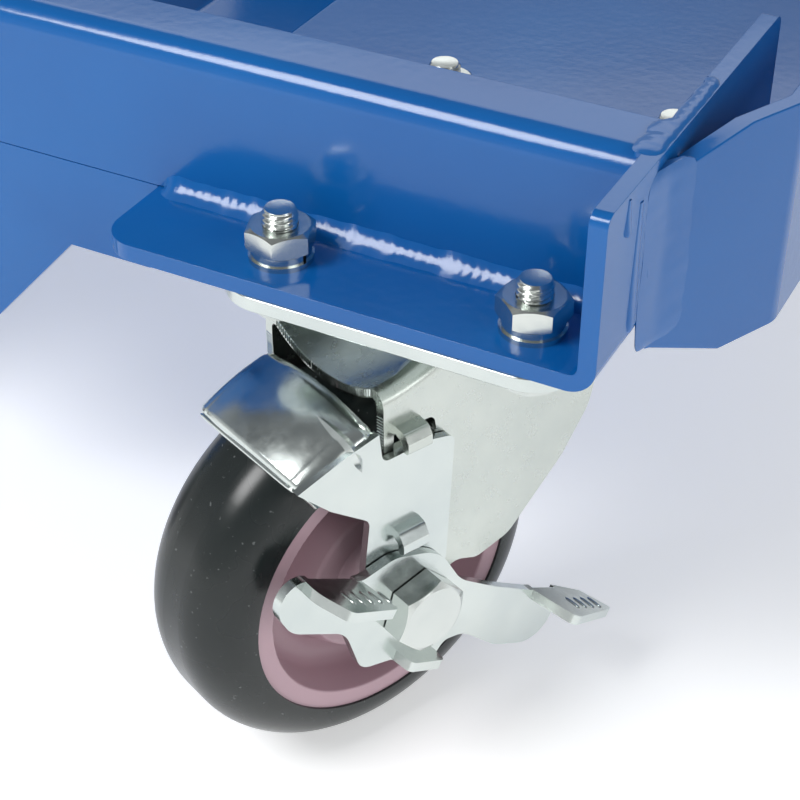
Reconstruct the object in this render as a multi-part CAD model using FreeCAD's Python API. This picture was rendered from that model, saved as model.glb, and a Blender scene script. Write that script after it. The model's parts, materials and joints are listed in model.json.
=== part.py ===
import FreeCAD, Part
import math
import os
from FreeCAD import Vector as V

# Four-caster steel wheel dolly (car skate).  Millimetres, +Z up, origin on the
# floor under the middle of the frame.  X is the direction in which the car's
# tyre rolls, Y runs across the tyre.

# ---- overall layout ----
PIN_X = 150.0            # kingpin distance from the middle along X
PIN_Y = 138.0            # kingpin distance from the middle along Y
TRAIL = 40.8             # kingpin to axle, horizontally
SWIVEL_A = 66.0          # rest heading of the +X -Y caster, degrees
SWIVEL_B = -52.0         # rest heading of the +X +Y caster, degrees

# ---- wheel ----
WHEEL_R = 50.0
CASTER_H = 2.0 * WHEEL_R + 25.0   # floor to the top of a caster's mounting plate
TREAD_HALF = 16.2        # half the tread's width
TREAD_ROUND = 13.0       # rounding radius of the tread's shoulders
RIM_R = 36.9             # tread to core joint
RIM_IN_R = 32.3          # inner edge of the core's rim ring
RIM_HALF = 15.6          # half the rim's width
HUB_R = 13.5
HUB_HALF = 18.0
SLEEVE_R = 7.0
RUN_GAP = 0.05           # radial clearance of a running fit

# ---- fork and brake ----
LEG_IN = 19.5            # axle mid-plane to a leg's inner face
SHEET = 2.5              # fork sheet
LEG_OUT = LEG_IN + SHEET
LEG_TOP = WHEEL_R + 3.5  # leg's top at the nose, above the axle
CROWN_R = 28.0           # round part of the crown about the kingpin
CROWN_TOP = WHEEL_R + 17.5    # above the axle
PIN_R = 6.0              # kingpin
AXLE_R = 5.0             # M10 axle bolt
SIDE_GAP = 0.3           # between sliding faces
COVER_T = 2.0            # brake cover sheet
COVER_R = WHEEL_R + 6.2           # top of the arched cover about the axle
COVER_FROM = 8.8         # cover's arc behind the top of the wheel, degrees
COVER_TO = 33.4
COVER_FAR = 17.5         # cover's outer width beyond the mid-plane, away from the pedal
COVER_SKIRT = WHEEL_R - 3.5   # lower edge of the cover's far wall about the axle
COVER_MOUTH = WHEEL_R + 2.0       # lower edge of the cover's end walls about the axle
PEDAL_T = 2.5
PEDAL_TILT = -29.0       # the rocker's slope at rest, degrees
CROWN_NOSE = -5.6        # crown's front edge, ahead of the axle
CROWN_FLAT = 26.0        # where the dished nose has risen to the flat crown
CROWN_BACK = 60.6
NOSE_RIM = WHEEL_R + 9.0 # crown's rolled edges at the nose, above the axle
BACK_RIM = CROWN_TOP - 0.4
NOSE_DIP = 5.2           # depth of the dish at the nose
ROLL_NOSE = 4.0          # outer radius of the roll into the legs, at the nose
ROLL_BACK = 5.6
FINGER_SPAN = (-4.8, 2.6)   # finger over the pedal's hub, ahead of the axle
LUG_SPAN = (-2.4, 4.4)   # tongue over the brake's plate, ahead of the axle
AXLE_AF = 17.0           # hexagon across flats, axle bolt and nut

# ---- caster plate and its bolts ----
PLATE_X = 85.0
PLATE_Y = 105.0
PLATE_T = 3.5
PLATE_ROUND = 12.0
HOLE_X = 60.0            # bolt pattern
HOLE_Y = 80.0
HOLE_R = 4.5
BOLT_R = 4.0             # M8
BOLT_AF = 13.0
NUT_AF = 14.0
BOLT_HEAD_H = 5.3
FLAT_T = 1.2
FLAT_R = 7.3
SPRING_T = 1.8
SPRING_R = 6.8
NUT_H = 5.4
THREAD_OUT = 4.0         # thread standing out of the nut

# ---- frame ----
STEEL = 4.0              # plate thickness of the frame
EAR_FRONT = 52.0         # bracket's outer edge from the kingpin, along Y
EAR_BACK = 52.0
EAR_IN = 70.8            # bracket's inner edge from the kingpin, along X
POST_OUT = 48.8          # upstand's outer face from the kingpin, along X
POST_H = 41.4            # upstand's height, bracket underside to top
WALL_OFF = 26.7          # rail's outer face from the kingpin, along Y
RAIL_TOP = 41.0          # rail's top above the bracket's underside
RAIL_FLANGE = 18.0       # width of the rail's top flange
SHELF = 66.0             # where the pan leaves the deck level, along X
PAN_FLOOR = 24.0         # half length of the pan's flat bottom
PAN_DROP = 46.0          # depth of the pan below the deck
APRON_DEPTH = 19.6       # apron below the deck's underside beside a bracket
END_OUT = 49.6           # end rail's outer face at its root, from the kingpin
END_IN_Y = 22.0          # root of the end rail, outward of the kingpin along Y
END_ANGLE = 25.0         # splay of the end rail's arms, degrees
END_ARM = 40.0           # length of each splayed arm
WELD = 4.0               # leg of a fillet weld

DECK = CASTER_H          # underside of bracket and deck
TOP = DECK + STEEL       # upper face of bracket and deck
AXLE_Z = WHEEL_R
Z_AXIS = V(0, 0, 1)
CORNERS = [
    ("a", 1, -1, SWIVEL_A),
    ("b", 1, 1, SWIVEL_B),
    ("c", -1, 1, SWIVEL_A + 180.0),
    ("d", -1, -1, SWIVEL_B + 180.0),
]

parts = {}


def box(x0, x1, y0, y1, z0, z1):
    return Part.makeBox(x1 - x0, y1 - y0, z1 - z0, V(x0, y0, z0))


def cyl(r, z0, z1, x=0.0, y=0.0):
    return Part.makeCylinder(r, z1 - z0, V(x, y, z0), Z_AXIS)


def cyl_y(r, y0, y1, x, z):
    return Part.makeCylinder(r, y1 - y0, V(x, y0, z), V(0, 1, 0))


def prism(points, direction):
    wire = Part.makePolygon(points + [points[0]])
    return Part.Face(wire).extrude(direction)


def rounded(points, spot):
    # closed outline through (a, b, corner radius) points; spot turns (a, b) into a vector
    n = len(points)
    ends = []
    for i in range(n):
        ax, ay = points[i - 1][:2]
        bx, by, r = points[i]
        cx, cy = points[(i + 1) % n][:2]
        if r <= 0:
            ends.append([(bx, by)])
            continue
        la = math.hypot(ax - bx, ay - by)
        lc = math.hypot(cx - bx, cy - by)
        ux, uy = (ax - bx) / la, (ay - by) / la
        wx, wy = (cx - bx) / lc, (cy - by) / lc
        half = math.acos(max(-1.0, min(1.0, ux * wx + uy * wy))) / 2.0
        cut = r / math.tan(half)
        mx, my = ux + wx, uy + wy
        m = math.hypot(mx, my)
        reach = r / math.sin(half) - r
        ends.append([(bx + ux * cut, by + uy * cut), (bx + mx / m * reach, by + my / m * reach),
                     (bx + wx * cut, by + wy * cut)])
    edges = []
    for i in range(n):
        e = [spot(a, b) for a, b in ends[i]]
        if len(e) == 3:
            edges.append(Part.Arc(e[0], e[1], e[2]).toShape())
        nxt = ends[(i + 1) % n][0]
        last = e[-1]
        if (spot(nxt[0], nxt[1]) - last).Length > 1e-6:
            edges.append(Part.makeLine(last, spot(nxt[0], nxt[1])))
    return Part.Face(Part.Wire(edges))


def hexagon(af, z0, z1, x=0.0, y=0.0, turn=0.0):
    r = af / math.sqrt(3.0)
    pts = []
    for k in range(6):
        a = math.radians(60.0 * k + turn)
        pts.append(V(x + r * math.cos(a), y + r * math.sin(a), z0))
    return prism(pts, V(0, 0, z1 - z0))


def chamfered_hex(af, z0, z1, turn, low, high):
    # hexagon with its corners turned off at the low and/or high end
    body = hexagon(af, z0, z1, 0, 0, turn)
    r = af / math.sqrt(3.0)
    flat = af / 2.0 * 0.95
    if high:
        cone = Part.makeCone(flat + (z1 - z0) / math.tan(math.radians(30.0)), flat, z1 - z0, V(0, 0, z0))
        body = body.common(cone)
    if low:
        cone = Part.makeCone(flat, flat + (z1 - z0) / math.tan(math.radians(30.0)), z1 - z0, V(0, 0, z0))
        body = body.common(cone)
    return body


def fillet(shape, radius, test):
    picked = [e for e in shape.Edges if test(e)]
    if not picked:
        return shape
    return shape.makeFillet(radius, picked)


def near(value, target):
    return abs(value - target) < 0.02


def is_line_along(edge, axis):
    if edge.Curve.TypeId != "Part::GeomLine":
        return False
    t = edge.tangentAt(edge.FirstParameter)
    return abs(abs(getattr(t, axis)) - 1.0) < 1e-6


def place(shape, sx, sy, heading):
    s = shape.copy()
    s.rotate(V(0, 0, 0), Z_AXIS, heading)
    s.translate(V(sx * PIN_X, sy * PIN_Y, 0))
    return s


def to_corner(shape, sx, sy):
    # a shape drawn for the +X -Y corner, about its kingpin, mirrored to a corner
    s = shape.copy()
    if sx < 0:
        s = s.mirror(V(0, 0, 0), V(1, 0, 0))
    if sy > 0:
        s = s.mirror(V(0, 0, 0), V(0, 1, 0))
    s.translate(V(sx * PIN_X, sy * PIN_Y, 0))
    return s


# ---------------------------------------------------------------- frame

def bracket():
    base = box(-EAR_IN, POST_OUT, -EAR_FRONT, EAR_BACK, DECK, TOP)
    post = box(POST_OUT - STEEL, POST_OUT, -EAR_FRONT, EAR_BACK, DECK, DECK + POST_H)
    s = base.fuse(post).removeSplitter()
    s = fillet(s, 6.5, lambda e: is_line_along(e, "y") and near(e.CenterOfMass.x, POST_OUT)
               and near(e.CenterOfMass.z, DECK))
    s = fillet(s, 2.0, lambda e: is_line_along(e, "y") and near(e.CenterOfMass.x, POST_OUT - STEEL)
               and near(e.CenterOfMass.z, TOP))
    s = fillet(s, 9.0, lambda e: is_line_along(e, "z") and near(e.CenterOfMass.x, -EAR_IN)
               and near(e.CenterOfMass.y, -EAR_FRONT))
    s = fillet(s, 3.0, lambda e: is_line_along(e, "x") and near(e.CenterOfMass.z, DECK + POST_H))
    for x in (-HOLE_X / 2, HOLE_X / 2):
        for y in (-HOLE_Y / 2, HOLE_Y / 2):
            s = s.cut(cyl(HOLE_R, DECK - 1, TOP + 1, x, y))
    return s


def rail():
    # drawn for the -Y side; an angle with its top flange turned inward
    y0 = -(PIN_Y + WALL_OFF)
    x1 = PIN_X + POST_OUT - STEEL
    web = box(-x1, x1, y0, y0 + STEEL, TOP, DECK + RAIL_TOP)
    top = box(-x1, x1, y0, y0 + RAIL_FLANGE, DECK + RAIL_TOP - STEEL, DECK + RAIL_TOP)
    s = web.fuse(top).removeSplitter()
    s = fillet(s, 6.0, lambda e: is_line_along(e, "x") and near(e.CenterOfMass.y, y0)
               and near(e.CenterOfMass.z, DECK + RAIL_TOP))
    s = fillet(s, 2.0, lambda e: is_line_along(e, "x") and near(e.CenterOfMass.y, y0 + STEEL)
               and near(e.CenterOfMass.z, DECK + RAIL_TOP - STEEL))
    return s


def apron():
    y0 = -(PIN_Y + WALL_OFF)
    x_end = PIN_X - EAR_IN - 0.3
    side = DECK - APRON_DEPTH
    low = DECK - PAN_DROP - STEEL
    slope = PAN_DROP / (SHELF - PAN_FLOOR)
    x_knee = PAN_FLOOR + (side - low) / slope
    pts = [V(-x_end, y0, TOP), V(x_end, y0, TOP), V(x_end, y0, side), V(x_knee, y0, side),
           V(PAN_FLOOR, y0, low), V(-PAN_FLOOR, y0, low), V(-x_knee, y0, side), V(-x_end, y0, side)]
    s = prism(pts, V(0, STEEL, 0))
    return fillet(s, 5.0, lambda e: is_line_along(e, "y") and near(abs(e.CenterOfMass.x), x_end)
                  and near(e.CenterOfMass.z, side))


def deck_pan():
    half = PIN_X + POST_OUT + 13.0
    wide = PIN_Y + WALL_OFF - STEEL - 0.2
    low = DECK - PAN_DROP
    t = STEEL
    run = SHELF - PAN_FLOOR
    ang = math.atan2(PAN_DROP, run)
    off = t * math.tan(ang / 2.0)
    up = [V(-half, -wide, DECK + t), V(-SHELF + off, -wide, DECK + t), V(-PAN_FLOOR + off, -wide, low + t),
          V(PAN_FLOOR - off, -wide, low + t), V(SHELF - off, -wide, DECK + t), V(half, -wide, DECK + t)]
    dn = [V(half, -wide, DECK), V(SHELF, -wide, DECK), V(PAN_FLOOR, -wide, low),
          V(-PAN_FLOOR, -wide, low), V(-SHELF, -wide, DECK), V(-half, -wide, DECK)]
    s = prism(up + dn, V(0, 2 * wide, 0))
    edges = [e for e in s.Edges if is_line_along(e, "y") and abs(e.CenterOfMass.x) < SHELF + 1]
    s = s.makeFillet(3.0, edges)
    for sx in (-1, 1):
        for sy in (-1, 1):
            x0 = sx * (PIN_X - EAR_IN - 0.3)
            x1 = sx * (half + 5)
            y0 = sy * (PIN_Y - EAR_BACK - 0.3)
            y1 = sy * (wide + 5)
            s = s.cut(box(min(x0, x1), max(x0, x1), min(y0, y1), max(y0, y1), DECK - 5, TOP + 5))
    return s


def end_rail():
    # drawn for the +X side: a flat bar on edge, splayed outward from both uprights
    a = math.radians(END_ANGLE)
    xs = PIN_X + END_OUT
    ys = -(PIN_Y + END_IN_Y)
    xm = xs + END_ARM * math.sin(a)
    ym = ys + END_ARM * math.cos(a)
    nx = -STEEL * math.cos(a)
    ny = STEEL * math.sin(a)
    k = STEEL * math.tan(a / 2.0)
    back = 12.0
    xb = xs - back * math.sin(a)
    yb = ys - back * math.cos(a)
    outer = [V(xb, yb, 0), V(xm, ym, 0), V(xm, -ym, 0), V(xb, -yb, 0)]
    inner = [V(xb + nx, -yb - ny, 0), V(xm - STEEL, -ym - k, 0), V(xm - STEEL, ym + k, 0), V(xb + nx, yb + ny, 0)]
    z0 = DECK - 15.0
    s = prism([p + V(0, 0, z0) for p in outer + inner], V(0, 0, DECK + RAIL_TOP - 0.6 - z0))
    s = fillet(s, 8.0, lambda e: is_line_along(e, "z") and near(e.CenterOfMass.x, xm))
    s = fillet(s, 4.0, lambda e: is_line_along(e, "z") and near(e.CenterOfMass.x, xm - STEEL))
    # the ends are dressed down toward the uprights
    far = xm + 20
    for sy in (-1, 1):
        low = [V(0, sy * (-ys + 20), z0 - 1), V(0, sy * (-ys + 20), DECK - 2.0), V(0, -sy * ys, DECK - 5.6),
               V(0, sy * (-ys - 20), z0), V(0, sy * (-ys - 20), z0 - 1)]
        s = s.cut(prism(low, V(far, 0, 0)))
        t0 = DECK + RAIL_TOP
        high = [V(0, sy * (-ys + 20), t0 + 1), V(0, sy * (-ys + 20), t0 - 9.0), V(0, -sy * ys, t0 - 6.0),
                V(0, sy * (-ys - 22), t0 - 0.6), V(0, sy * (-ys - 22), t0 + 1)]
        s = s.cut(prism(high, V(far, 0, 0)))
    s = s.cut(box(0, PIN_X + POST_OUT, -400, 400, 0, 400))
    return s


def fillet_bead(length):
    # a weld bead along X in the corner between a wall at y=0 (behind) and a floor
    a = V(0, 0, 0)
    b = V(0, -WELD, 0)
    c = V(0, 0, WELD)
    mid = V(0, -WELD * 0.56, WELD * 0.56)
    arc = Part.Arc(b, mid, c).toShape()
    wire = Part.Wire([Part.makeLine(a, b), arc, Part.makeLine(c, a)])
    return Part.Face(wire).extrude(V(length, 0, 0))


brackets = {}
for tag, sx, sy, heading in CORNERS:
    brackets[tag] = to_corner(bracket(), sx, sy)
    parts["corner_bracket_" + tag] = brackets[tag]

front_rail = rail().cut(brackets["a"]).cut(brackets["d"])
rear_rail = front_rail.mirror(V(0, 0, 0), V(0, 1, 0))
parts["side_rail_front"] = front_rail
parts["side_rail_rear"] = rear_rail
front_apron = apron()
parts["apron_front"] = front_apron
parts["apron_rear"] = front_apron.mirror(V(0, 0, 0), V(0, 1, 0))
pan = deck_pan()
parts["deck_pan"] = pan
right_end = end_rail()
left_end = right_end.mirror(V(0, 0, 0), V(1, 0, 0))
parts["end_rail_right"] = right_end
parts["end_rail_left"] = left_end

# long fillet welds at the foot of each rail, one per bracket
beads = []
for tag, sx, sy, heading in CORNERS:
    length = EAR_IN + 1.0 + POST_OUT - STEEL
    bead = fillet_bead(length)
    bead.translate(V(-EAR_IN - 0.5, -WALL_OFF, TOP))
    bead = bead.cut(box(POST_OUT - STEEL - 2.0, POST_OUT, -EAR_FRONT, 0, DECK, DECK + POST_H))
    bead = bead.cut(box(-EAR_IN - 1, -EAR_IN, -EAR_FRONT, 0, DECK, DECK + POST_H))
    beads.append(to_corner(bead, sx, sy))
parts["rail_welds"] = Part.makeCompound(beads)

# flat beads over the joint of each upright with the rail's end, and the dressed
# welds that join each upright to the end rail
CAP_R = 7.0
CAP_LEN = 40.0
caps = []
for tag, sx, sy, heading in CORNERS:
    z_cap = DECK + POST_H + 1.0
    x_cap = POST_OUT - STEEL - 0.4
    bar = Part.makeCylinder(CAP_R, CAP_LEN, V(x_cap, -WALL_OFF + 1.0, z_cap - CAP_R), V(0, 1, 0))
    bar = bar.common(box(-200, POST_OUT - 0.4, -80, 80, DECK + RAIL_TOP - 1.0, z_cap + 1))
    bar = bar.cut(box(-200, POST_OUT - STEEL - 1.6, -WALL_OFF + RAIL_FLANGE, 80, DECK, z_cap + 1))
    bar = to_corner(bar, sx, sy).cut(brackets[tag]).cut(front_rail).cut(rear_rail)
    caps.append(max(bar.Solids, key=lambda p: p.Volume))
DRESS = 8.5
a = math.radians(END_ANGLE)
root_x = END_OUT
root_y = -END_IN_Y
plan = [V(POST_OUT, root_y - DRESS, 0), V(root_x + DRESS * math.sin(a), root_y + DRESS * math.cos(a), 0),
        V(root_x - 1.0, root_y + 1.0, 0), V(POST_OUT, root_y, 0)]
for tag, sx, sy, heading in CORNERS:
    rod = prism([p + V(0, 0, DECK - 4.6) for p in plan], V(0, 0, POST_H - 1.5 + 4.6))
    rod = to_corner(rod, sx, sy).cut(right_end).cut(left_end).cut(brackets[tag])
    caps.append(max(rod.Solids, key=lambda p: p.Volume))
parts["post_welds"] = Part.makeCompound(caps)


# ---------------------------------------------------------------- fasteners

def bolt_points():
    pts = []
    for tag, sx, sy, heading in CORNERS:
        for i in (-1, 1):
            for j in (-1, 1):
                pts.append((sx * PIN_X + i * HOLE_X / 2, sy * PIN_Y + j * HOLE_Y / 2, 17.0 * i + 9.0 * j + 13.0 * sx))
    return pts


def plate_bolt():
    z_head = CASTER_H - PLATE_T
    z_top = TOP + FLAT_T + SPRING_T + NUT_H + THREAD_OUT
    head = chamfered_hex(BOLT_AF, z_head - BOLT_HEAD_H, z_head, 0, True, False)
    stem = cyl(BOLT_R, z_head - 0.5, z_top)
    stem = stem.makeChamfer(0.8, [e for e in stem.Edges if near(e.CenterOfMass.z, z_top) and e.Closed])
    return head.fuse(stem)


def plate_nut():
    z0 = TOP + FLAT_T + SPRING_T
    nut = chamfered_hex(NUT_AF, z0, z0 + NUT_H, 0, True, True)
    return nut.cut(cyl(BOLT_R + 0.03, z0 - 1, z0 + NUT_H + 1))


def flat_washer():
    z0 = TOP
    return cyl(FLAT_R, z0, z0 + FLAT_T).cut(cyl(BOLT_R + 0.3, z0 - 1, z0 + FLAT_T + 1))


def spring_washer():
    z0 = TOP + FLAT_T
    ring = cyl(SPRING_R, z0, z0 + SPRING_T).cut(cyl(BOLT_R + 0.2, z0 - 1, z0 + SPRING_T + 1))
    slit = box(0, 12, -0.3, 0.7, z0 - 1, z0 + SPRING_T + 1)
    return ring.cut(slit)


def group(make, turns=True):
    one = make()
    out = []
    for x, y, turn in bolt_points():
        s = one.copy()
        if turns:
            s.rotate(V(0, 0, 0), Z_AXIS, turn)
        s.translate(V(x, y, 0))
        out.append(s)
    return Part.makeCompound(out)


parts["mount_bolts"] = group(plate_bolt)
parts["mount_nuts"] = group(plate_nut)
parts["flat_washers"] = group(flat_washer, False)
parts["spring_washers"] = group(spring_washer)


# ---------------------------------------------------------------- casters
# A caster is drawn about its kingpin with the wheel behind it at x = -TRAIL.
# The brake's side is -Y; "out" below is the distance from the mid-plane that way.

def top_plate():
    s = box(-PLATE_X / 2, PLATE_X / 2, -PLATE_Y / 2, PLATE_Y / 2, CASTER_H - PLATE_T, CASTER_H)
    s = fillet(s, PLATE_ROUND, lambda e: is_line_along(e, "z"))
    s = s.fuse(cyl(27.0, CASTER_H - PLATE_T - 1.9, CASTER_H - PLATE_T)).removeSplitter()
    for x in (-HOLE_X / 2, HOLE_X / 2):
        for y in (-HOLE_Y / 2, HOLE_Y / 2):
            s = s.cut(cyl(HOLE_R, 0, CASTER_H + 1, x, y))
    return s.cut(cyl(PIN_R + 0.02, 0, CASTER_H + 1))


def kingpin():
    z_disc = AXLE_Z + CROWN_TOP - 4.0
    s = cyl(PIN_R, z_disc - 1.0, CASTER_H - 0.2)
    head = cyl(10.0, z_disc - 5.0, z_disc - 0.3)
    head = head.makeFillet(2.0, [e for e in head.Edges if near(e.CenterOfMass.z, z_disc - 5.0) and e.Closed])
    return s.fuse(head).removeSplitter()


def race_ring():
    z0 = AXLE_Z + CROWN_TOP + 0.3
    z1 = CASTER_H - PLATE_T - 1.9 - 0.3
    return cyl(26.0, z0 - 0.3, z1).cut(cyl(19.0, z0 - 1, z1 + 1))


def leg_outline(top):
    # side view of a fork leg: (ahead of the axle, above it, corner radius)
    return [(-5.5, top, 0), (-5.5, 35.0, 14.0), (-12.2, 3.0, 10.0), (-9.4, -12.0, 9.0), (9.4, -12.0, 9.0),
            (13.0, 2.6, 5.0), (23.0, -1.6, 4.0), (33.0, 0.8, 8.0), (49.4, 16.8, 14.0), (57.4, 28.5, 14.0),
            (60.6, 44.0, 14.0), (60.6, top + 6.5, 0), (22.0, top + 6.5, 0), (14.0, top + 3.0, 0), (2.0, top, 0)]


def to_local(s, z):
    return s - TRAIL, AXLE_Z + z


def leg(y0, y1):
    face = rounded(leg_outline(LEG_TOP), lambda a, b: V(a - TRAIL, y0, AXLE_Z + b))
    return face.extrude(V(0, y1 - y0, 0))


def crown_section(s, rim, dip, low, corner):
    # cross-section of the crown's sheet at s ahead of the axle: rolled over into
    # both legs, dished by dip in the middle
    x = s - TRAIL
    w = LEG_OUT
    t = SHEET
    z1 = AXLE_Z + rim
    z0 = AXLE_Z + low
    k = math.sqrt(0.5)
    edges = []
    for side, wide, top, rc in ((1, w, z1, corner), (-1, w - t, z1 - t, corner - t)):
        mid_z = top - dip
        left = V(x, -side * wide, z0)
        p = [left, V(x, -side * wide, top - rc), V(x, -side * (wide - rc), top), V(x, side * (wide - rc), top),
             V(x, side * wide, top - rc), V(x, side * wide, z0)]
        a1 = V(x, -side * (wide - rc + rc * k), top - rc + rc * k)
        a2 = V(x, side * (wide - rc + rc * k), top - rc + rc * k)
        edges.append(Part.makeLine(p[0], p[1]))
        edges.append(Part.Arc(p[1], a1, p[2]).toShape())
        edges.append(Part.Arc(p[2], V(x, 0, mid_z), p[3]).toShape())
        edges.append(Part.Arc(p[3], a2, p[4]).toShape())
        edges.append(Part.makeLine(p[4], p[5]))
        end = V(x, side * (w - t), z0) if side == 1 else V(x, side * w, z0)
        edges.append(Part.makeLine(p[5], end))
    return Part.Wire(edges)


def crown():
    sections = []
    steps = 9
    for i in range(steps + 1):
        t = i / steps
        ease = t * t * (3.0 - 2.0 * t)
        s = CROWN_NOSE + (CROWN_FLAT - CROWN_NOSE) * t
        rim = NOSE_RIM + (BACK_RIM - NOSE_RIM) * ease
        sections.append(crown_section(s, rim, NOSE_DIP * (1.0 - ease) + 0.05, WHEEL_R,
                                      ROLL_NOSE + (ROLL_BACK - ROLL_NOSE) * ease))
    sections.append(crown_section(CROWN_BACK, BACK_RIM, 0.05, WHEEL_R, ROLL_BACK))
    return Part.makeLoft(sections, True, True)


def lug():
    # the tongue pressed out of the near leg, over the cover's plate
    s0, s1 = LUG_SPAN
    x0 = s0 - TRAIL
    y = -LEG_OUT
    out = LEG_OUT + SIDE_GAP + COVER_T + 0.45
    outer = out + 2.0
    z = AXLE_Z + WHEEL_R
    pts = [(LEG_OUT - 0.2, z - 0.4, 0), (outer - 1.4, z - 0.8, 1.8), (outer, z - 3.0, 1.0), (outer, z - 5.8, 0.8),
           (out, z - 5.8, 0.4), (out, z - 3.6, 0.6), (LEG_OUT - 0.2, z - 2.4, 0)]
    return rounded(pts, lambda a, b: V(x0, -a, b)).extrude(V(s1 - s0, 0, 0))


def fork():
    s = leg(-LEG_OUT, -LEG_IN).fuse(leg(LEG_IN, LEG_OUT))
    s = s.fuse(crown())
    s = s.fuse(cyl(CROWN_R, AXLE_Z + CROWN_TOP - 4.0, AXLE_Z + CROWN_TOP))
    s = s.cut(cyl(PIN_R + RUN_GAP, 0, 200))
    xa, za = to_local(0, 0)
    s = s.cut(cyl_y(AXLE_R + 0.05, -60, 60, xa, za))
    # window behind the tongue, in the leg beside the brake's plate
    s0, s1 = LUG_SPAN
    low = WHEEL_R - 7.4
    top = WHEEL_R - 2.4
    hole = rounded([(s0 - 0.4, low, 0.8), (s1 + 5.2, low, 1.0), (s1 + 4.2, top, 2.0), (s0 - 0.4, top, 0.8)],
                   lambda a, b: V(a - TRAIL, -LEG_OUT - 1, AXLE_Z + b))
    s = s.cut(hole.extrude(V(0, SHEET + 2, 0)))
    s = s.fuse(lug())
    return s.removeSplitter()


def tread():
    x, z = to_local(0, 0)
    w = TREAD_HALF
    c = TREAD_ROUND
    k = math.sqrt(0.5)
    p = [V(x, -RIM_HALF, z + RIM_R), V(x, -w, z + WHEEL_R - c), V(x, -w + c, z + WHEEL_R),
         V(x, w - c, z + WHEEL_R), V(x, w, z + WHEEL_R - c), V(x, RIM_HALF, z + RIM_R)]
    m1 = V(x, -w + c - c * k, z + WHEEL_R - c + c * k)
    m2 = V(x, w - c + c * k, z + WHEEL_R - c + c * k)
    wire = Part.Wire([
        Part.makeLine(p[0], p[1]),
        Part.Arc(p[1], m1, p[2]).toShape(),
        Part.makeLine(p[2], p[3]),
        Part.Arc(p[3], m2, p[4]).toShape(),
        Part.makeLine(p[4], p[5]),
        Part.makeLine(p[5], p[0]),
    ])
    return Part.Face(wire).revolve(V(x, 0, z), V(0, 1, 0), 360)


def wheel_core():
    x, z = to_local(0, 0)
    half = [(RIM_R, RIM_HALF, 0), (RIM_IN_R, RIM_HALF, 0.5), (RIM_IN_R - 2.2, 4.4, 4.5), (24.0, 4.4, 2.6),
            (20.2, 13.8, 1.4), (HUB_R + 0.6, 14.2, 0.6), (HUB_R - 0.8, HUB_HALF, 0),
            (SLEEVE_R + RUN_GAP, HUB_HALF, 0)]
    other = [(r, -y, c) for r, y, c in reversed(half)]
    face = rounded(half + other, lambda a, b: V(x, b, z + a))
    return face.revolve(V(x, 0, z), V(0, 1, 0), 360)


def axle_bolt():
    x, z = to_local(0, 0)
    out0 = LEG_OUT + SIDE_GAP + COVER_T + SIDE_GAP + PEDAL_T + SIDE_GAP
    head = chamfered_hex(AXLE_AF, 0, 6.4, 14.0, False, True)
    head.rotate(V(0, 0, 0), V(1, 0, 0), 90)
    head.translate(V(x, -out0, z))
    stem = cyl_y(AXLE_R, -out0 - 0.5, LEG_OUT + 11.0, x, z)
    return head.fuse(stem).removeSplitter()


def axle_nut():
    x, z = to_local(0, 0)
    nut = chamfered_hex(AXLE_AF, 0, 8.0, 8.0, True, True)
    nut.rotate(V(0, 0, 0), V(1, 0, 0), -90)
    nut.translate(V(x, LEG_OUT, z))
    nut = nut.cut(cyl_y(AXLE_R + 0.03, 0, 60, x, z))
    # distance ring between the near leg and the pedal
    ring = cyl_y(7.0, -LEG_OUT - COVER_T - SIDE_GAP, -LEG_OUT, x, z).cut(cyl_y(AXLE_R + 0.03, -60, 0, x, z))
    return Part.makeCompound([nut, ring])


def axle_sleeve():
    x, z = to_local(0, 0)
    return cyl_y(SLEEVE_R, -LEG_IN, LEG_IN, x, z).cut(cyl_y(AXLE_R + 0.03, -60, 60, x, z))


def side_outline():
    # brake cover's side plate: (ahead of the axle, above the axle, corner radius)
    top = WHEEL_R
    return [(-30.4, top - 4.4, 0), (-21.9, top - 13.1, 6.0), (-11.2, top - 21.4, 3.0), (-12.8, 14.0, 1.0),
            (-11.8, 10.0, 1.0), (11.2, 5.0, 1.5), (13.0, top - 8.4, 2.6), (4.0, top - 6.1, 3.0),
            (-3.0, top - 6.6, 1.0), (-7.6, top - 6.6, 2.2), (-8.6, top + 1.5, 0), (-17.5, top - 0.4, 0)]


def hood_face(inset, low):
    # cross-section of the arched cover at the top of the wheel; +u is the pedal's side
    x, z = to_local(0, 0)
    near_u = LEG_OUT + SIDE_GAP + COVER_T - inset
    far_u = COVER_FAR - inset
    r = COVER_R - inset
    rc = 5.2 - inset
    p = [V(x, far_u, z + low), V(x, far_u, z + r - 2.0 - rc), V(x, far_u - rc, z + r - 1.9),
         V(x, -near_u + rc, z + r - 2.0), V(x, -near_u, z + r - 2.1 - rc), V(x, -near_u, z + low)]
    k = rc * (1.0 - math.sqrt(0.5))
    far_mid = V(x, far_u - k, z + r - 2.0 - k)
    near_mid = V(x, -near_u + k, z + r - 2.0 - k)
    top = V(x, (far_u - near_u) / 2.0, z + r)
    return Part.Face(Part.Wire([
        Part.makeLine(p[0], p[1]), Part.Arc(p[1], far_mid, p[2]).toShape(), Part.Arc(p[2], top, p[3]).toShape(),
        Part.Arc(p[3], near_mid, p[4]).toShape(), Part.makeLine(p[4], p[5]), Part.makeLine(p[5], p[0])]))


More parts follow.
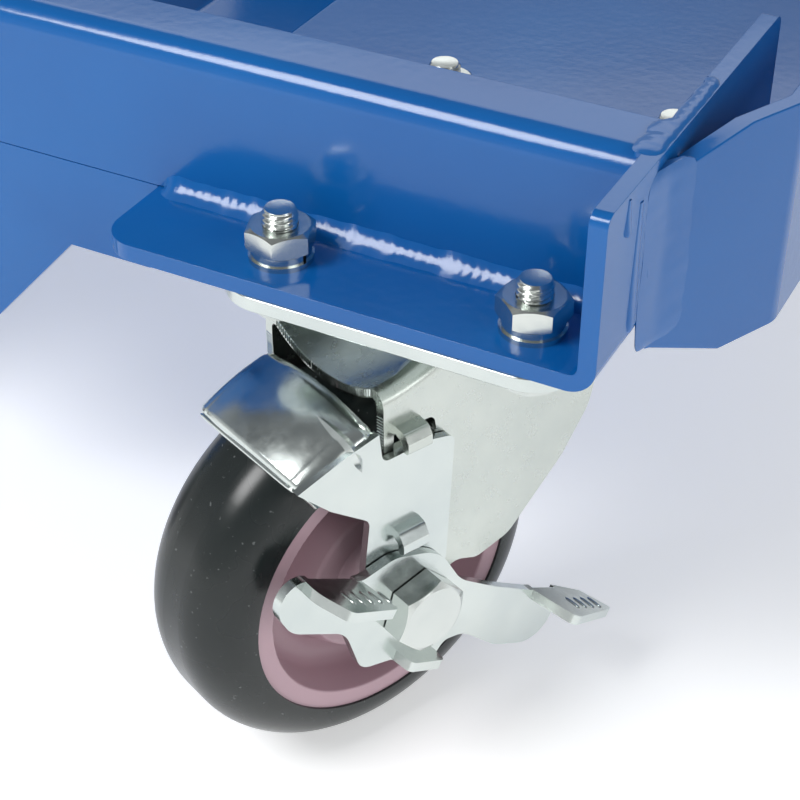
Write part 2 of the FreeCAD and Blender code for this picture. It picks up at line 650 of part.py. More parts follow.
def hood_body(inset, low, a0, a1, round_up, round_down):
    x, z = to_local(0, 0)
    s = hood_face(inset, low).revolve(V(x, 0, z), V(0, 1, 0), -(a1 - a0))
    s.rotate(V(x, 0, z), V(0, 1, 0), -a0)
    for angle, radius in ((a0, round_up), (a1, round_down)):
        t = math.radians(angle)
        n = V(math.cos(t), 0, math.sin(t))
        picked = []
        for e in s.Edges:
            spots = [v.Point - V(x, 0, z) for v in e.Vertexes] + [e.CenterOfMass - V(x, 0, z)]
            flat = all(abs(p.dot(n)) < 0.02 for p in spots)
            high = min(p.dot(V(-math.sin(t), 0, math.cos(t))) for p in spots) > low + 0.5
            if flat and high:
                picked.append(e)
        if picked and radius > 0:
            s = s.makeFillet(radius, picked)
    return s


def brake_cover():
    x, z = to_local(0, 0)
    t = COVER_T
    half = LEG_OUT + SIDE_GAP + t
    slack = math.degrees(t / COVER_R)
    s = hood_body(0.0, COVER_SKIRT, COVER_FROM, COVER_TO, 3.6, 1.8)
    s = s.cut(hood_body(t, COVER_SKIRT - 6.5, COVER_FROM + slack, COVER_TO - slack, 1.6, 0.0))
    s = s.cut(cyl_y(COVER_MOUTH, -half + t, COVER_FAR - t, x, z))
    face = rounded(side_outline(), lambda a, b: V(a - TRAIL, -half, AXLE_Z + b))
    plate = face.extrude(V(0, t, 0)).cut(cyl_y(10.5, -60, 60, x, z))
    plate = plate.cut(hood_body(0.0, COVER_SKIRT, COVER_FROM, COVER_TO, 3.6, 1.8))
    s = s.fuse(plate)
    # finger pressed out of the plate over the pedal's hub
    s0, s1 = FINGER_SPAN
    zf = AXLE_Z
    pts = [(half - 0.4, zf + 23.8, 0), (half + 2.4, zf + 23.2, 2.2), (half + 4.2, zf + 20.4, 2.0),
           (half + 4.2, zf + 17.6, 0.9), (half + 2.3, zf + 17.6, 0.5), (half + 2.1, zf + 20.0, 1.0),
           (half - 0.4, zf + 21.6, 0)]
    s = s.fuse(rounded(pts, lambda a, b: V(s0 - TRAIL, -a, b)).extrude(V(s1 - s0, 0, 0)))
    return s.removeSplitter()


def pedal_outline():
    # rocker drawn level: (along it, across it, corner radius), front end at +
    return [(-43.0, 5.8, 5.2), (-21.2, 5.8, 5.0), (-13.5, 12.0, 8.0), (0.0, 14.2, 14.0), (12.0, 6.4, 14.0),
            (26.0, 4.4, 20.0),
            (40.0, 3.4, 4.0), (53.0, 3.4, 1.5), (53.0, -12.0, 8.0), (36.0, -12.6, 14.0), (22.0, -8.6, 8.0),
            (16.2, -10.6, 3.0), (14.8, -15.7, 1.0), (0.0, -15.7, 2.0), (-8.6, -18.0, 5.0), (-19.0, -8.0, 8.0),
            (-36.0, -7.8, 9.0), (-43.0, -3.0, 6.0)]


def tread_plate(points, top):
    face = rounded(points, lambda a, b: V(a, -b, top - PEDAL_T))
    return face.extrude(V(0, 0, PEDAL_T))


def brake_pedal():
    x, z = to_local(0, 0)
    out0 = LEG_OUT + SIDE_GAP + COVER_T + SIDE_GAP
    s = rounded(pedal_outline(), lambda a, b: V(a, -out0, b)).extrude(V(0, -PEDAL_T, 0))
    # treads turned outward from the arms' upper edges
    o = out0
    rear = [(-38.6, o, 0), (-21.4, o, 0), (-19.3, 38.6, 1.2), (-34.8, 40.0, 2.0), (-39.0, 32.0, 9.0)]
    s = s.fuse(tread_plate(rear, 5.8))
    front = [(40.8, o, 0), (51.4, o, 0), (60.0, 27.4, 1.0), (64.0, 36.0, 1.2), (45.2, 40.0, 2.5)]
    s = s.fuse(tread_plate(front, 3.4))
    s = s.fuse(tread_plate([(0.5, o, 0), (14.6, o, 0), (13.6, 31.6, 1.6), (1.6, 32.6, 1.6)], -13.2))
    s = s.removeSplitter()
    # the folds are rounded
    r = 1.6
    for top, a0, a1 in ((5.8, -37.0, -22.6), (3.4, 42.2, 51.0)):
        edge = box(a0, a1, -out0 - r, -out0 + 0.5, top - r, top + 0.5)
        s = s.cut(edge.cut(Part.makeCylinder(r, a1 - a0 + 2, V(a0 - 1, -out0 - r, top - r), V(1, 0, 0))))
    s = s.cut(cyl_y(AXLE_R + RUN_GAP, -60, 60, 0, 0))
    s.rotate(V(0, 0, 0), V(0, 1, 0), -PEDAL_TILT)
    s.translate(V(x, 0, z))
    return s


caster_parts = {
    "fork": fork(),
    "race_ring": race_ring(),
    "axle_bolt": axle_bolt(),
    "axle_nut": axle_nut(),
    "axle_sleeve": axle_sleeve(),
    "wheel_core": wheel_core(),
    "tread": tread(),
    "brake_cover": brake_cover(),
    "brake_pedal": brake_pedal(),
}
plate = top_plate()
pin = kingpin()
pins = []
for tag, sx, sy, heading in CORNERS:
    parts["top_plate_" + tag] = place(plate, sx, sy, 0.0)
    pins.append(place(pin, sx, sy, 0.0))
    for name, shape in caster_parts.items():
        parts[name + "_" + tag] = place(shape, sx, sy, heading)
parts["kingpins"] = Part.makeCompound(pins)

os.makedirs("parts", exist_ok=True)
for name, shape in sorted(parts.items()):
    shape.exportStep("parts/" + name + ".step")
    print(name, len(shape.Solids), shape.isValid(), round(shape.Volume, 1))
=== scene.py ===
import json
import math
import bpy
import bmesh
from mathutils import Matrix, Vector, noise


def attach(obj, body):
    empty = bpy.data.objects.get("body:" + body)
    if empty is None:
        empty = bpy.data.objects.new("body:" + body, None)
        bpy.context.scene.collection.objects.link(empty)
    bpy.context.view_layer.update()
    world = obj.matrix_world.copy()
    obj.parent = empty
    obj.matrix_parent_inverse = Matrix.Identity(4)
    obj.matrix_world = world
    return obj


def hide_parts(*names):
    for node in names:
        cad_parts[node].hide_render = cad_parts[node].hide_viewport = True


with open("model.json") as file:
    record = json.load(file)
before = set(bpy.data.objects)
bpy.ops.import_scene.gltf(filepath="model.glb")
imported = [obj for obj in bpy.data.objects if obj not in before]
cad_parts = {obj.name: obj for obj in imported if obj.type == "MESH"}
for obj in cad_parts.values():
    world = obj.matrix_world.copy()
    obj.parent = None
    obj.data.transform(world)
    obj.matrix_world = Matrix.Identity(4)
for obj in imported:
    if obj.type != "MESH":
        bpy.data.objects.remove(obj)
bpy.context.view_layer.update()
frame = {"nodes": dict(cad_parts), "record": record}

nodes = frame["nodes"]

# ---------------------------------------------------------------- layout of the dolly, millimetres as in the CAD
MM = 0.001                           # metres in a millimetre
PIN_X, PIN_Y = 150.0, 138.0
TRAIL = 40.8
WHEEL_R = 50.0
AXLE_Z = WHEEL_R
TOP = 129.0                          # upper face of the brackets
WALL_OFF = 26.7                      # rail's outer face, outward of the kingpins
POST_OUT, STEEL, POST_H = 48.8, 4.0, 41.4
RAIL_TOP, RAIL_FLANGE = 41.0, 18.0
EAR_IN = 70.8
END_OUT, END_IN_Y, END_ANGLE = 49.6, 22.0, math.radians(25.0)
CORNERS = [("a", 1, -1, 66.0), ("b", 1, 1, -52.0), ("c", -1, 1, 246.0), ("d", -1, -1, 128.0)]
PLATE_SIDE = 24.3                    # outer face of the brake cover's side plate, from the mid-plane
PEDAL_TILT = math.radians(-29.0)


# ---------------------------------------------------------------- materials

def new_material(name):
    m = bpy.data.materials.new(name)
    m.use_nodes = True
    nt = m.node_tree
    nt.nodes.clear()
    out = nt.nodes.new("ShaderNodeOutputMaterial")
    bsdf = nt.nodes.new("ShaderNodeBsdfPrincipled")
    nt.links.new(bsdf.outputs[0], out.inputs[0])
    return m, nt, bsdf


def coords(nt):
    return nt.nodes.new("ShaderNodeTexCoord").outputs["Object"]


def noise_tex(nt, vec, scale, detail=2.0, rough=0.5, distortion=0.0):
    n = nt.nodes.new("ShaderNodeTexNoise")
    n.inputs["Scale"].default_value = scale
    n.inputs["Detail"].default_value = detail
    n.inputs["Roughness"].default_value = rough
    n.inputs["Distortion"].default_value = distortion
    nt.links.new(vec, n.inputs["Vector"])
    return n.outputs[0]


def ramp(nt, fac, stops):
    r = nt.nodes.new("ShaderNodeValToRGB")
    el = r.color_ramp.elements
    while len(el) < len(stops):
        el.new(0.5)
    for e, (p, c) in zip(el, stops):
        e.position = p
        e.color = (c[0], c[1], c[2], 1.0) if hasattr(c, "__len__") else (c, c, c, 1.0)
    nt.links.new(fac, r.inputs[0])
    return r.outputs[0]


def bump(nt, height, strength, distance, normal=None):
    b = nt.nodes.new("ShaderNodeBump")
    b.inputs["Strength"].default_value = strength
    b.inputs["Distance"].default_value = distance
    nt.links.new(height, b.inputs["Height"])
    if normal is not None:
        nt.links.new(normal, b.inputs["Normal"])
    return b.outputs[0]


def blue_paint():
    m, nt, b = new_material("blue_paint")
    v = coords(nt)
    cloud = noise_tex(nt, v, 14.0, 3.0)
    col = ramp(nt, cloud, [(0.35, (0.0030, 0.098, 0.345)), (0.65, (0.0045, 0.116, 0.385))])
    nt.links.new(col, b.inputs["Base Color"])
    b.inputs["Roughness"].default_value = 0.16
    b.inputs["Specular IOR Level"].default_value = 0.42
    b.inputs["Coat Weight"].default_value = 0.12
    b.inputs["Coat Roughness"].default_value = 0.05
    peel = noise_tex(nt, v, 420.0, 2.0, 0.45)
    wide = noise_tex(nt, v, 90.0, 2.0, 0.5)
    n1 = bump(nt, wide, 0.035, 0.0010)
    n2 = bump(nt, peel, 0.08, 0.0004, n1)
    nt.links.new(n2, b.inputs["Normal"])
    return m


def zinc(name, light, dark, rough):
    m, nt, b = new_material(name)
    v = coords(nt)
    cloud = noise_tex(nt, v, 26.0, 4.0, 0.6)
    col = ramp(nt, cloud, [(0.28, dark), (0.72, light)])
    nt.links.new(col, b.inputs["Base Color"])
    b.inputs["Metallic"].default_value = 1.0
    fine = noise_tex(nt, v, 240.0, 3.0, 0.6)
    rr = nt.nodes.new("ShaderNodeMapRange")
    rr.inputs["From Min"].default_value = 0.3
    rr.inputs["From Max"].default_value = 0.7
    rr.inputs["To Min"].default_value = rough - 0.04
    rr.inputs["To Max"].default_value = rough + 0.06
    nt.links.new(fine, rr.inputs["Value"])
    nt.links.new(rr.outputs[0], b.inputs["Roughness"])
    n1 = bump(nt, noise_tex(nt, v, 55.0, 2.0, 0.5), 0.05, 0.0010)
    n2 = bump(nt, noise_tex(nt, v, 700.0, 2.0, 0.5), 0.05, 0.0002, n1)
    nt.links.new(n2, b.inputs["Normal"])
    return m


def pink_plastic():
    m, nt, b = new_material("pink_core")
    v = coords(nt)
    col = ramp(nt, noise_tex(nt, v, 22.0, 3.0), [(0.3, (0.450, 0.300, 0.345)), (0.7, (0.490, 0.332, 0.378))])
    nt.links.new(col, b.inputs["Base Color"])
    b.inputs["Roughness"].default_value = 0.38
    b.inputs["Subsurface Weight"].default_value = 0.06
    b.inputs["Subsurface Radius"].default_value = (0.004, 0.002, 0.002)
    b.inputs["Subsurface Scale"].default_value = 1.0
    nt.links.new(bump(nt, noise_tex(nt, v, 500.0, 2.0), 0.04, 0.0003), b.inputs["Normal"])
    return m


def black_tread():
    m, nt, b = new_material("black_tread")
    v = coords(nt)
    cloud = noise_tex(nt, v, 60.0, 4.0, 0.6)
    col = ramp(nt, cloud, [(0.3, (0.009, 0.013, 0.013)), (0.7, (0.014, 0.019, 0.019))])
    specks = ramp(nt, noise_tex(nt, v, 900.0, 1.0, 0.4), [(0.72, 0.0), (0.78, 1.0)])
    mix = nt.nodes.new("ShaderNodeMix")
    mix.data_type = "RGBA"
    nt.links.new(specks, mix.inputs[0])
    nt.links.new(col, mix.inputs[6])
    mix.inputs[7].default_value = (0.10, 0.11, 0.11, 1.0)
    nt.links.new(mix.outputs[2], b.inputs["Base Color"])
    rr = nt.nodes.new("ShaderNodeMapRange")
    rr.inputs["To Min"].default_value = 0.20
    rr.inputs["To Max"].default_value = 0.34
    nt.links.new(noise_tex(nt, v, 45.0, 3.0), rr.inputs["Value"])
    nt.links.new(rr.outputs[0], b.inputs["Roughness"])
    b.inputs["Specular IOR Level"].default_value = 0.45
    nt.links.new(bump(nt, noise_tex(nt, v, 70.0, 2.0), 0.05, 0.0008), b.inputs["Normal"])
    return m


MATS = {
    "blue_paint": blue_paint(),
    "zinc_sheet": zinc("zinc_sheet", (0.690, 0.735, 0.705), (0.560, 0.615, 0.605), 0.20),
    "zinc_hardware": zinc("zinc_hardware", (0.69, 0.72, 0.69), (0.57, 0.61, 0.59), 0.20),
    "zinc_fork": zinc("zinc_fork", (0.655, 0.690, 0.640), (0.520, 0.565, 0.535), 0.24),
    "pink_core": pink_plastic(),
    "black_tread": black_tread(),
}
slot_of = {s["node"]: s["material_slot"] for s in frame["record"]["subparts"]}
for name, obj in nodes.items():
    obj.data.materials.clear()
    obj.data.materials.append(MATS[slot_of[name]])


# ---------------------------------------------------------------- mesh helpers, millimetres in, metres out

def piece(name, verts, faces, slot, body, matrix=None, sharp=40.0):
    """A mesh piece made from points in millimetres; it rides on a CAD body."""
    me = bpy.data.meshes.new(name)
    pts = [Vector(p) for p in verts]
    if matrix is not None:
        pts = [matrix @ p for p in pts]
    me.from_pydata([tuple(p * MM) for p in pts], [], faces)
    me.validate()
    bm = bmesh.new()
    bm.from_mesh(me)
    bmesh.ops.remove_doubles(bm, verts=bm.verts, dist=1e-7)
    bmesh.ops.recalc_face_normals(bm, faces=bm.faces)
    limit = math.radians(sharp)
    for f in bm.faces:
        f.smooth = True
    for e in bm.edges:
        if len(e.link_faces) == 2 and e.calc_face_angle(0.0) > limit:
            e.smooth = False
    bm.to_mesh(me)
    bm.free()
    me.materials.append(MATS[slot])
    o = bpy.data.objects.new(name, me)
    bpy.context.scene.collection.objects.link(o)
    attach(o, body)
    return o


class Builder:
    """Collects several closed shells into one mesh."""

    def __init__(self):
        self.verts = []
        self.faces = []

    def add(self, verts, faces, matrix=None):
        base = len(self.verts)
        for p in verts:
            self.verts.append(matrix @ Vector(p) if matrix is not None else Vector(p))
        self.faces += [tuple(base + i for i in f) for f in faces]

    def loops(self, rows, matrix=None):
        """Rows of closed rings of equal length, capped at both ends."""
        n = len(rows[0])
        verts = [p for row in rows for p in row]
        faces = []
        for r in range(len(rows) - 1):
            for c in range(n):
                d = (c + 1) % n
                faces.append((r * n + c, r * n + d, (r + 1) * n + d, (r + 1) * n + c))
        faces.append(tuple(reversed(range(n))))
        faces.append(tuple((len(rows) - 1) * n + c for c in range(n)))
        self.add(verts, faces, matrix)


def corner_matrix(sx, sy):
    """From a point about the +X -Y kingpin to the same place at another corner."""
    m = Matrix.Diagonal((1.0 if sx > 0 else -1.0, 1.0 if sy < 0 else -1.0, 1.0, 1.0))
    return Matrix.Translation((sx * PIN_X, sy * PIN_Y, 0.0)) @ m


def caster_matrix(sx, sy, heading):
    return Matrix.Translation((sx * PIN_X, sy * PIN_Y, 0.0)) @ Matrix.Rotation(math.radians(heading), 4, "Z")


def wheel_point(s, u, h):
    """(ahead of the axle, toward the pedal, above the axle) in the caster's own axes."""
    return (s - TRAIL, -u, AXLE_Z + h)


def wobble(x, y, z, size, seed):
    return noise.noise(Vector((x / size + seed, y / size - seed, z / size + 2.0 * seed)))


# ---------------------------------------------------------------- bolts with cut threads

PLATE_UNDER = 121.5
BOLT_TOP = 141.4
NUT_TOP = 137.4
PITCH = 1.25


def hex_rows(af, z0, z1, turn, low_chamfer, n=72):
    flat = af / 2.0 * 0.95
    ring_a, ring_b, ring_c = [], [], []
    for i in range(n):
        t = 2.0 * math.pi * i / n
        across = af / 2.0 / math.cos((t % (math.pi / 3.0)) - math.pi / 6.0)
        a = t + turn + math.pi / 6.0
        c, s = math.cos(a), math.sin(a)
        drop = (across - flat) * math.tan(math.radians(30.0)) if low_chamfer else 0.0
        ring_a.append((flat * c, flat * s, z0))
        ring_b.append((across * c, across * s, z0 + drop))
        ring_c.append((across * c, across * s, z1))
    return [ring_a, ring_b, ring_c]


def thread_rows(r, depth, z0, z1, n=36, lead=0.0):
    rows = []
    count = int((z1 - z0) / (PITCH / 9.0))
    for k in range(count + 1):
        z = z0 + (z1 - z0) * k / count
        row = []
        for i in range(n):
            t = 2.0 * math.pi * i / n
            phase = (z / PITCH - t / (2.0 * math.pi) + lead) % 1.0
            ridge = 1.0 - abs(2.0 * phase - 1.0)
            ridge = min(1.0, max(0.0, ridge * 1.5 - 0.25))
            rad = r - depth * (1.0 - ridge)
            rad = min(rad, r - max(0.0, z - (z1 - 0.9)) * 0.75)
            row.append((rad * math.cos(t), rad * math.sin(t), z))
        rows.append(row)
    # the sheared end is slightly dished
    for inner, drop in ((0.72, 0.05), (0.35, 0.16)):
        turns = [2.0 * math.pi * i / n for i in range(n)]
        rows.append([(r * inner * math.cos(t), r * inner * math.sin(t), z1 - drop) for t in turns])
    return rows


def bolt_set():
    b = Builder()
    k = 0
    for tag, sx, sy, heading in CORNERS:
        for i in (-1, 1):
            for j in (-1, 1):
                m = Matrix.Translation((sx * PIN_X + i * 30.0, sy * PIN_Y + j * 40.0, 0.0))
                b.loops(hex_rows(13.0, PLATE_UNDER - 5.3, PLATE_UNDER, 0.7 * k, True), m)
                turns = [2.0 * math.pi * q / 32 for q in range(32)]
                shank = [[(3.95 * math.cos(t), 3.95 * math.sin(t), z) for t in turns]
                         for z in (PLATE_UNDER - 0.2, NUT_TOP - 1.3)]
                b.loops(shank, m)
                b.loops(thread_rows(3.98, 0.58, NUT_TOP - 1.4, BOLT_TOP, lead=0.37 * k), m)
                k += 1
    o = piece("threaded_bolts", b.verts, b.faces, "zinc_hardware", "frame", sharp=32.0)
    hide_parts("mount_bolts")


# ---------------------------------------------------------------- weld beads and paint runs

def bead_rows(length, leg, seed):
    """A fillet weld in the corner of a floor (z=0) and a wall (y=0), with ripples and rounded ends."""
    rows = []
    count = int(length / 0.55)
    across = 9
    for k in range(count + 1):
        x = length * k / count
        end = min(x, length - x)
        fade = math.sqrt(max(0.0, 1.0 - (1.0 - min(1.0, end / 4.5)) ** 2))
        slow = 1.0 + 0.10 * wobble(x, 0.0, 0.0, 9.0, seed)
        saw = (x / 2.3 + 0.35 * wobble(x, 1.0, 0.0, 5.0, seed)) % 1.0
        row = [(x, 0.3, -0.3)]
        for q in range(across):
            t = q / (across - 1)
            mid = math.sin(math.pi * t)
            ripple = 0.09 * mid * (1.0 - saw) * fade
            edge = 0.35 * wobble(x, 9.0, 0.0, 3.5, seed) * (1.0 - mid)
            w = leg * slow * (0.14 + 0.86 * fade) + edge * fade
            bulge = 0.10 * w * mid + ripple
            py = -w * (1.0 - t) - bulge * 0.7071
            pz = w * t + bulge * 0.7071
            row.append((x + 1.1 * mid, py, max(pz, -0.2)))
        rows.append(row)
    return rows


def rail_welds():
    b = Builder()
    for n, (tag, sx, sy, heading) in enumerate(CORNERS):
        length = EAR_IN - 2.0 + POST_OUT - STEEL - 1.6
        m = corner_matrix(sx, sy) @ Matrix.Translation((-EAR_IN + 1.4, -WALL_OFF, TOP))
        b.loops(bead_rows(length, 4.0, 3.1 + 1.7 * n), m)
    o = piece("rail_weld_beads", b.verts, b.faces, "blue_paint", "frame", sharp=60.0)
    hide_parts("rail_welds")


def cap_rows(seed):
    """A flat, hand-laid bead over the rail's end and the upright's top."""
    rows = []
    length = 38.5
    count = 70
    across = 13
    z_rail = TOP - STEEL + RAIL_TOP
    for k in range(count + 1):
        y = length * k / count
        end = min(y, length - y)
        fade = math.sqrt(max(0.0, 1.0 - (1.0 - min(1.0, end / 3.5)) ** 2))
        over_rail = 1.0 - min(1.0, max(0.0, (y - (RAIL_FLANGE - 4.0)) / 3.0))
        left = 2.6 * over_rail + 0.1 + 0.4 * wobble(y, 3.0, 0.0, 3.0, seed)
        right = 3.7 + 0.2 * wobble(y, 7.0, 0.0, 3.0, seed)
        saw = (y / 3.4 + 0.3 * wobble(y, 0.0, 5.0, 4.0, seed)) % 1.0
        row = [(0.0 + right * 0.4, y, z_rail - 0.6), (-left * 0.5, y, z_rail - 0.6)]
        for q in range(across):
            t = q / (across - 1)
            x = -left * (0.35 + 0.65 * fade) + (left + right) * (0.35 + 0.65 * fade) * t
            mid = math.sin(math.pi * t) ** 0.6
            h = 0.42 + (0.38 + 0.08 * (1.0 - saw) + 0.10 * wobble(x, y, 0.0, 3.5, seed)) * mid * fade
            row.append((x, y + 0.9 * mid * (1.0 if k not in (0, count) else 0.0), z_rail + min(h, 1.0)))
        rows.append(row)
    return rows


def dressed_rows(seed):
    """The smooth weld that fairs the upright into the end rail, as rings going up."""
    root = Vector((END_OUT, -END_IN_Y))
    way = Vector((math.sin(END_ANGLE), math.cos(END_ANGLE)))
    rows = []
    z0, z1 = TOP - STEEL - 4.0, TOP - STEEL + POST_H - 2.6
    count = 40
    for k in range(count + 1):
        z = z0 + (z1 - z0) * k / count
        end = min(z - z0, z1 - z)
        fade = 0.55 + 0.45 * math.sqrt(max(0.0, 1.0 - (1.0 - min(1.0, end / 4.0)) ** 2))
        reach_a = (8.0 + 1.0 * wobble(z, 0.0, 1.0, 9.0, seed)) * fade
        reach_b = (8.5 + 1.0 * wobble(z, 4.0, 1.0, 8.0, seed)) * fade
        a = Vector((POST_OUT, root.y - reach_a))
        c = root + way * reach_b
        row = [(root.x - 1.2, root.y + 0.6, z), (POST_OUT - 0.3, root.y - reach_a + 0.2, z)]
        for q in range(11):
            t = q / 10.0
            chord = a.lerp(c, t)
            knee = Vector((root.x + 0.2, root.y))
            p = chord.lerp(knee, 0.45 * math.sin(math.pi * t))
            lump = 0.10 * wobble(z, 8.0 * t, 3.0, 3.0, seed)
            row.append((p.x + lump + 0.03, p.y, z))
        row.append((c.x - 0.6, c.y + 0.2, z))
        rows.append(row)
    return rows


RUNS = [            # paint runs on the upright's outer face: along y, top, length, width
    (-34.0, 20.0, 31.0, 5.6),
    (-27.0, 14.0, 19.0, 4.0),
    (-41.0, 24.0, 12.0, 3.4),
]


def run_rows(width, length, thick):
    rows = []
    count = 26
    for k in range(count + 1):
        t = k / count
        z = -length * t
        w = width * (0.30 + 0.70 * min(1.0, t * 1.4)) * (1.0 - 0.35 * t)
        end = math.sqrt(max(0.0, 1.0 - max(0.0, (t - 0.86) / 0.14) ** 2))
        swell = 0.25 + 0.75 * t ** 2
        row = [(-0.2, 0.5 * w * end + 0.02, z), (-0.2, -0.5 * w * end - 0.02, z)]
        for q in range(9):
            g = -1.0 + 2.0 * q / 8.0
            row.append((thick * swell * end * math.sqrt(max(0.0, 1.0 - g * g)) + 0.01, 0.5 * w * end * g, z))
        rows.append(row)
    return rows


def post_welds():
    b = Builder()
    for n, (tag, sx, sy, heading) in enumerate(CORNERS):
        m = corner_matrix(sx, sy)
        b.loops(cap_rows(1.3 + n), m @ Matrix.Translation((POST_OUT - STEEL, -WALL_OFF + 1.2, 0.0)))
        b.loops(dressed_rows(5.5 + n), m)
    o = piece("upright_weld_beads", b.verts, b.faces, "blue_paint", "frame", sharp=60.0)
    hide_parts("post_welds")
    b = Builder()
    for n, (tag, sx, sy, heading) in enumerate(CORNERS):
        for k, (y, top, length, width) in enumerate(RUNS):
            at = Matrix.Translation((POST_OUT, y, TOP - STEEL + 16.0 + top))
            b.loops(run_rows(width, length * (1.0 - 0.15 * ((n + k) % 3)), 0.85), corner_matrix(sx, sy) @ at)
    piece("paint_runs", b.verts, b.faces, "blue_paint", "frame", sharp=60.0)


# ---------------------------------------------------------------- details of each caster

def sheared_edge(tag, m):
    """Tear marks on the crown's cut front edge and on both legs' front edges."""
    b = Builder()
    nose, rim, dip, half = -5.6, 59.0, 5.25, 18.0
    u = -17.2
    k = 0
    while u < 17.3:
        top = rim - dip * (1.0 - (u / half) ** 2)
        lean = 0.25 * wobble(u, 0.0, 0.0, 2.0, 4.0)
        h = 2.0 + 0.25 * wobble(u, 5.0, 0.0, 1.0, 2.0)
        z = AXLE_Z + top - 0.12
        x = nose - TRAIL
        y = -u
        verts = [(x + 0.1, y - 0.22, z), (x + 0.1, y + 0.22, z), (x - 0.30, y, z - 0.1),
                 (x + 0.1, y - 0.22 + lean, z - h), (x + 0.1, y + 0.22 + lean, z - h),
                 (x - 0.30, y + lean, z - h + 0.1)]
        b.add(verts, [(0, 2, 1), (3, 4, 5), (0, 1, 4, 3), (1, 2, 5, 4), (2, 0, 3, 5)], m)
        u += 0.78 + 0.22 * wobble(k, 0.0, 0.0, 1.7, 6.0)
        k += 1
    for side in (-1, 1):
        h = 44.5
        while h < 53.0:
            x = -5.5 - TRAIL
            y0, y1 = side * 19.7, side * 21.8
            z = AXLE_Z + h
            verts = [(x + 0.1, y0, z - 0.2), (x + 0.1, y0, z + 0.2), (x - 0.24, y0, z),
                     (x + 0.1, y1, z + 0.1), (x + 0.1, y1, z + 0.5), (x - 0.24, y1, z + 0.3)]
            b.add(verts, [(0, 2, 1), (3, 4, 5), (0, 1, 4, 3), (1, 2, 5, 4), (2, 0, 3, 5)], m)
            h += 0.8
    piece("sheared_edge_" + tag, b.verts, b.faces, "zinc_sheet", "swivel_" + tag)


def cover_details(tag, m):
    """The dart across the cover's bend and the lip along its lower edge."""
    b = Builder()
    # path of the dart over the bend: (toward the pedal, from the axle, lean of the surface)
    path = []
    for k in range(29):
        t = k / 28.0
        if t < 0.36:
            u = 12.0 + (19.1 - 12.0) * t / 0.36
            path.append((u, 56.2 - 62.6 + math.sqrt(62.6 ** 2 - (u - 3.4) ** 2), (u - 3.4) / 62.6))
        elif t < 0.70:
            a = 0.25 + (t - 0.36) / 0.34 * (math.pi / 2.0 - 0.25)
            path.append((19.1 + 5.2 * math.sin(a), 48.9 + 5.2 * math.cos(a), a))
        else:
            path.append((PLATE_SIDE, 48.9 - (48.9 - 45.6) * (t - 0.70) / 0.30, math.pi / 2.0))
    rows = []
    for k, (u, r, a) in enumerate(path):
        t = -1.0 + 2.0 * k / 28.0
        w = 1.35 * (1.0 - t * t) + 0.03
        h = 0.95 * (1.0 - t * t)
        nu, nr = math.sin(a), math.cos(a)
        ring = []
        profile = ((-w, -0.05), (-0.5 * w, 0.45 * h), (0.0, h), (0.5 * w, 0.45 * h), (w, -0.05), (0.0, -0.35))
        for dx, lift in profile:
            ring.append((dx, u + nu * lift, r + nr * lift))
        rows.append(ring)
    tilt = math.radians(17.0)
    turned = []
    for ring in rows:
        out = []
        for dx, u, r in ring:
            s = -r * math.sin(tilt) + dx * math.cos(tilt)
            h = r * math.cos(tilt) + dx * math.sin(tilt)
            out.append(wheel_point(s, u, h))
        turned.append(out)
    b.loops(turned, m)
    # folded lip along the lower edge of the end wall
    rows = []
    for k in range(41):
        t = k / 40.0
        u = -15.0 + (21.4 + 15.0) * t
        fade = math.sqrt(max(0.0, 1.0 - (abs(2.0 * t - 1.0)) ** 8))
        ring = []
        for q in range(10):
            a = 2.0 * math.pi * q / 10.0
            r = 52.75 + 0.72 * fade * math.cos(a)
            off = 0.15 + 0.62 * fade * math.sin(a)
            ang = math.radians(33.4)
            s = -r * math.sin(ang) - off * math.cos(ang)
            h = r * math.cos(ang) - off * math.sin(ang)
            ring.append(wheel_point(s, u, h))
        rows.append(ring)
    b.loops(rows, m)
    piece("cover_dart_and_lip_" + tag, b.verts, b.faces, "zinc_sheet", "brake_" + tag, sharp=50.0)


def pedal_details(tag, m):
    """Pressed grip ribs on the pedal's treads."""
    b = Builder()
    pedal = m @ Matrix.Translation((-TRAIL, 0.0, AXLE_Z)) @ Matrix.Rotation(-PEDAL_TILT, 4, "Y")
    rear = (-33.0, 5.8, -36.5, -31.0, 5, 2.9)
    front = (49.0, 3.4, -36.0, -30.5, 4, 3.0)
    for a0, top, y0, y1, count, step in (rear, front):
        for k in range(count):
            x = a0 + step * k
            rows = []
            for q in range(9):
                t = q / 8.0
                y = y0 + (y1 - y0) * t
                fade = math.sqrt(max(0.0, 1.0 - (2.0 * t - 1.0) ** 4)) + 0.02
                ring = [(x - 0.55 * fade - 0.05 * y, y, top - 0.05)]
                for g in range(7):
                    a = math.pi * g / 6.0
                    along = x - 0.55 * fade * math.cos(a) - 0.05 * y
                    ring.append((along, y, top + 0.32 * fade * math.sin(a)))
                rows.append(ring)
            b.loops(rows, pedal)
    piece("grip_ribs_" + tag, b.verts, b.faces, "zinc_sheet", "pedal_" + tag, sharp=60.0)


def mould_lines(tag, m):
    """The parting ridge round the tyre."""
    b = Builder()
    verts, faces = [], []
    n = 180
    for i in range(n):
        t = 2.0 * math.pi * i / n
        for off, lift in ((-0.36, -0.03), (0.0, 0.10), (0.36, -0.03), (0.0, -0.25)):
            r = WHEEL_R - 0.10 + lift
            verts.append(wheel_point(r * math.sin(t), -0.8 + off, r * math.cos(t)))
    for i in range(n):
        j = (i + 1) % n
        for q in range(4):
            p = (q + 1) % 4
            faces.append((4 * i + q, 4 * i + p, 4 * j + p, 4 * j + q))
    b.add(verts, faces, m)
    piece("mould_line_" + tag, b.verts, b.faces, "black_tread", "wheel_" + tag)


# ---------------------------------------------------------------- broken edges on the sheet metal

